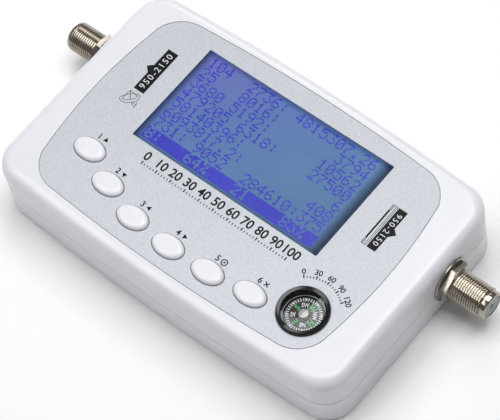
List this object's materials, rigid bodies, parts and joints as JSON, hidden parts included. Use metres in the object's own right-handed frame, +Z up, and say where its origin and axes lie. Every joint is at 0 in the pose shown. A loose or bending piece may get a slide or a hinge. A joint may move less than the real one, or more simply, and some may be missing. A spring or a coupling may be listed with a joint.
{
  "type": "satellite signal meter",
  "caption": "Hand-held satellite signal meter: flat rounded case, dot display, arc of oval keys, small liquid compass and a threaded coaxial socket on each end.",
  "frame": {"origin": "under the middle of the case, on the surface that it lies on", "axes": "+X runs along the case from the dish-side socket to the receiver-side socket, +Y to the case's back above the display, +Z up out of the face"},
  "size_m": [0.1606, 0.0808, 0.0236],
  "materials": {
    "white_plastic": "smooth moulded white plastic with a soft gloss",
    "silver_print": "fine-grained silver face sheet",
    "clear_plastic": "clear moulded plastic",
    "lcd_blue": "backlit blue display glass",
    "milky_plastic": "diffusing white plastic",
    "black_steel": "black folded sheet steel",
    "black_plastic": "moulded black plastic",
    "dark_plastic": "moulded dark plastic",
    "gloss_black": "glossy moulded black plastic",
    "card_black": "printed black card",
    "pale_plastic": "pale grey-blue insulating plastic",
    "green_board": "green lacquered circuit board",
    "nickel": "warm nickel plate",
    "steel": "plain bright steel",
    "brass": "plain brass",
    "aluminium": "plain aluminium can"
  },
  "bodies": {
    "case": {"top_shell": "white_plastic", "bottom_shell": "white_plastic", "face_label": "silver_print", "display_window": "clear_plastic", "lcd_bezel": "black_steel", "lcd_glass": "lcd_blue", "lcd_backlight": "milky_plastic", "lcd_board": "green_board", "lcd_header": "black_plastic", "main_board": "green_board", "tuner_can": "steel", "tuner_lid": "steel", "controller_chip": "black_plastic", "tuner_chip": "black_plastic", "buzzer": "black_plastic", "capacitor_back": "aluminium", "capacitor_front": "aluminium", "input_barrel": "nickel", "input_washer": "nickel", "input_nut": "nickel", "input_insulator": "pale_plastic", "input_contact": "brass", "output_barrel": "nickel", "output_washer": "nickel", "output_nut": "nickel", "output_insulator": "pale_plastic", "output_contact": "brass", "switch_key_up": "black_plastic", "switch_key_down": "black_plastic", "switch_key_left": "black_plastic", "switch_key_right": "black_plastic", "switch_key_enter": "black_plastic", "switch_key_back": "black_plastic", "compass_housing": "gloss_black", "compass_lens": "clear_plastic", "compass_pin": "steel", "case_screw_front_left": "steel", "case_screw_front_right": "steel", "case_screw_back_left": "steel", "case_screw_back_right": "steel", "lcd_screw_front_left": "steel", "lcd_screw_front_right": "steel", "lcd_screw_back_left": "steel", "lcd_screw_back_right": "steel"},
    "up_key": {"key_up": "white_plastic", "plunger_key_up": "dark_plastic"},
    "down_key": {"key_down": "white_plastic", "plunger_key_down": "dark_plastic"},
    "left_key": {"key_left": "white_plastic", "plunger_key_left": "dark_plastic"},
    "right_key": {"key_right": "white_plastic", "plunger_key_right": "dark_plastic"},
    "enter_key": {"key_enter": "white_plastic", "plunger_key_enter": "dark_plastic"},
    "back_key": {"key_back": "white_plastic", "plunger_key_back": "dark_plastic"},
    "compass_dial": {"compass_card": "card_black", "compass_jewel": "brass"}
  },
  "joints": [
    {"name": "up_press", "type": "slide", "parent": "case", "child": "up_key", "axis": [0, 0, -1], "range_m": [0, 0.0005], "stiffness_N_per_m": 1500},
    {"name": "down_press", "type": "slide", "parent": "case", "child": "down_key", "axis": [0, 0, -1], "range_m": [0, 0.0005], "stiffness_N_per_m": 1500},
    {"name": "left_press", "type": "slide", "parent": "case", "child": "left_key", "axis": [0, 0, -1], "range_m": [0, 0.0005], "stiffness_N_per_m": 1500},
    {"name": "right_press", "type": "slide", "parent": "case", "child": "right_key", "axis": [0, 0, -1], "range_m": [0, 0.0005], "stiffness_N_per_m": 1500},
    {"name": "enter_press", "type": "slide", "parent": "case", "child": "enter_key", "axis": [0, 0, -1], "range_m": [0, 0.0005], "stiffness_N_per_m": 1500},
    {"name": "back_press", "type": "slide", "parent": "case", "child": "back_key", "axis": [0, 0, -1], "range_m": [0, 0.0005], "stiffness_N_per_m": 1500},
    {"name": "dial_turn", "type": "hinge", "parent": "case", "child": "compass_dial", "pos_m": [0.04248, -0.02186, 0.0201], "axis": [0, 0, 1], "continuous": true}
  ]
}
